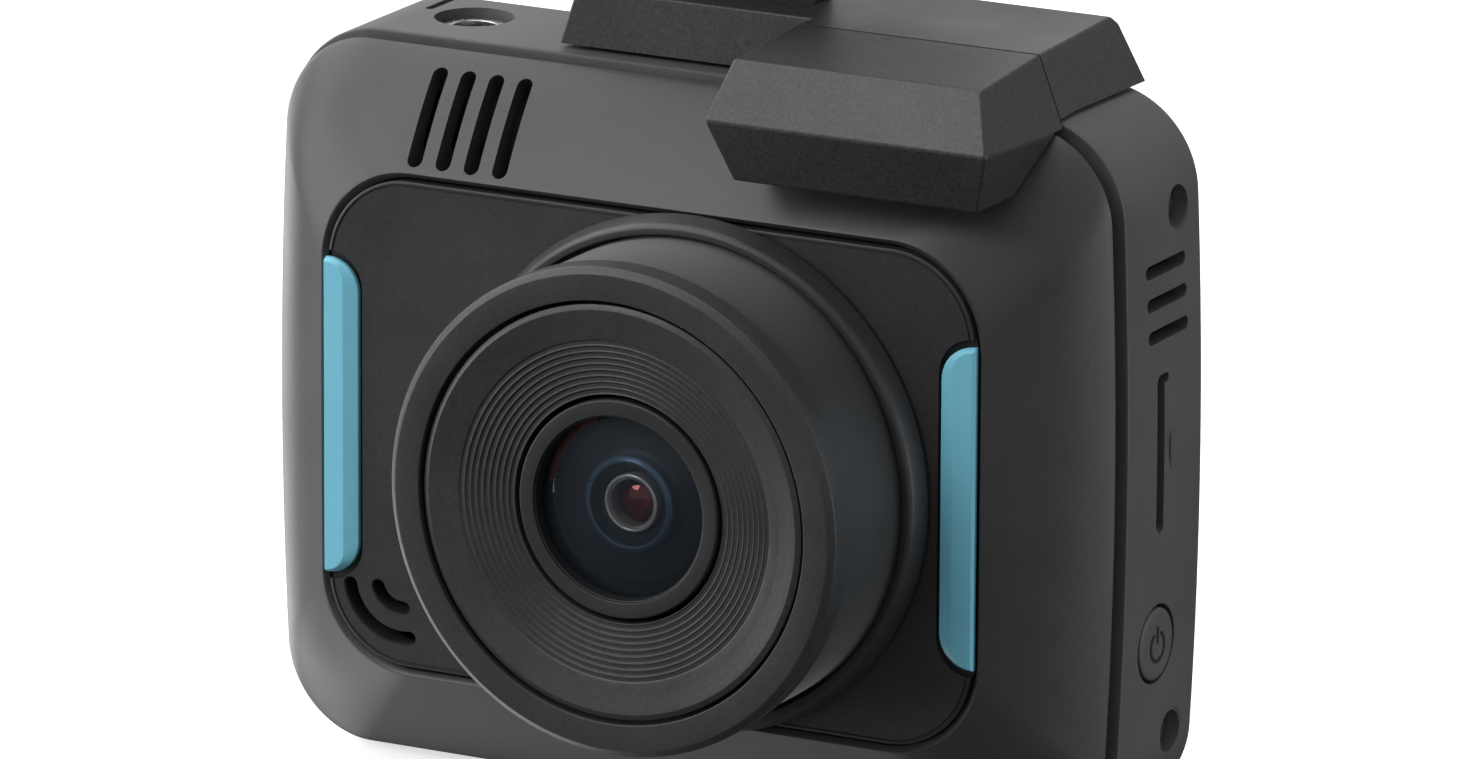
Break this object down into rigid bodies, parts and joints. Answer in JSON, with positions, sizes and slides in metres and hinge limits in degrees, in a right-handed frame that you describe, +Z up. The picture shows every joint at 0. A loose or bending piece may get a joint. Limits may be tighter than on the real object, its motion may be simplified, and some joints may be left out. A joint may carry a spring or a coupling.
{
  "type": "dash camera",
  "caption": "Compact dash camera with a wide lens barrel on a curved bezel, side controls, a rear display and a tilting adhesive windscreen mount.",
  "frame": {"origin": "centre of the overall bounding box in plan, at the underside of the case", "axes": "+Z up, -Y the way the lens looks, +X the side with the card slot and the power button"},
  "size_m": [0.0772, 0.0434, 0.0802],
  "materials": {
    "satin_black": "satin moulded plastic",
    "matte_black": "finely grained moulded plastic",
    "deep_black": "light-absorbing black",
    "accent_blue": "satin light blue",
    "lens_glass": "coated optical glass",
    "screen_glass": "clear window over a dark screen",
    "bright_metal": "nickel plated",
    "dark_metal": "dark stamped steel",
    "board_green": "solder resist over glass laminate",
    "chip_black": "moulded epoxy",
    "cell_wrap": "wrapped lithium cell",
    "ribbon": "flexible printed circuit",
    "ceramic": "fired ceramic patch",
    "gold": "gold-plated contacts",
    "foam_pad": "adhesive foam"
  },
  "bodies": {
    "camera": {"front_bezel": "satin_black", "front_panel": "satin_black", "accent_bar_left": "accent_blue", "accent_bar_right": "accent_blue", "lens_collar": "satin_black", "lens_barrel": "satin_black", "lens_lock_nut": "dark_metal", "lens_hood_ring": "satin_black", "hood_baffle": "deep_black", "lens_retaining_ring": "satin_black", "front_lens": "lens_glass", "lens_cell": "deep_black", "iris_ring": "bright_metal", "rear_lens": "lens_glass", "lens_holder": "matte_black", "image_sensor": "chip_black", "sensor_board": "board_green", "sensor_flex": "ribbon", "main_housing": "matte_black", "rear_cover": "matte_black", "display_window": "screen_glass", "display_module": "chip_black", "display_flex": "ribbon", "case_screw_right_upper": "bright_metal", "case_screw_right_lower": "bright_metal", "case_screw_left_upper": "bright_metal", "case_screw_left_lower": "bright_metal", "power_switch": "chip_black", "key_board": "board_green", "microsd_socket": "dark_metal", "usb_socket": "bright_metal", "av_jack": "chip_black", "jack_bush": "bright_metal", "main_board": "board_green", "processor": "chip_black", "battery": "cell_wrap", "speaker": "dark_metal", "microphone": "bright_metal", "mount_rail": "matte_black", "contact_plate": "gold"},
    "power_button": {"power_button": "matte_black"},
    "key_menu": {"key_menu": "satin_black"},
    "key_up": {"key_up": "satin_black"},
    "key_down": {"key_down": "satin_black"},
    "key_ok": {"key_ok": "satin_black"},
    "microsd_card": {"microsd_card": "chip_black"},
    "mount": {"mount_bar": "matte_black", "mount_pod": "matte_black", "gps_board": "board_green", "gps_antenna": "ceramic", "contact_pins": "chip_black", "hinge_pin": "bright_metal"},
    "foot": {"windscreen_foot": "matte_black", "adhesive_pad": "foam_pad"}
  },
  "joints": [
    {"name": "power_button_press", "type": "slide", "parent": "camera", "child": "power_button", "axis": [-1, 0, 0], "range_m": [0, 0.0004], "stiffness_N_per_m": 300, "springref_m": -0.0005},
    {"name": "key_menu_press", "type": "slide", "parent": "camera", "child": "key_menu", "axis": [0, -1, 0], "range_m": [0, 0.0004], "stiffness_N_per_m": 300, "springref_m": -0.0005},
    {"name": "key_up_press", "type": "slide", "parent": "camera", "child": "key_up", "axis": [0, -1, 0], "range_m": [0, 0.0004], "stiffness_N_per_m": 300, "springref_m": -0.0005},
    {"name": "key_down_press", "type": "slide", "parent": "camera", "child": "key_down", "axis": [0, -1, 0], "range_m": [0, 0.0004], "stiffness_N_per_m": 300, "springref_m": -0.0005},
    {"name": "key_ok_press", "type": "slide", "parent": "camera", "child": "key_ok", "axis": [0, -1, 0], "range_m": [0, 0.0004], "stiffness_N_per_m": 300, "springref_m": -0.0005},
    {"name": "card_slide", "type": "slide", "parent": "camera", "child": "microsd_card", "axis": [1, 0, 0], "range_m": [-0.0008, 0.016]},
    {"name": "mount_release", "type": "slide", "parent": "camera", "child": "mount", "axis": [0, -1, 0], "range_m": [0, 0.011]},
    {"name": "foot_tilt", "type": "hinge", "parent": "mount", "child": "foot", "pos_m": [0, 0.00975, 0.0639], "axis": [1, 0, 0], "range_deg": [-35, 35]}
  ]
}
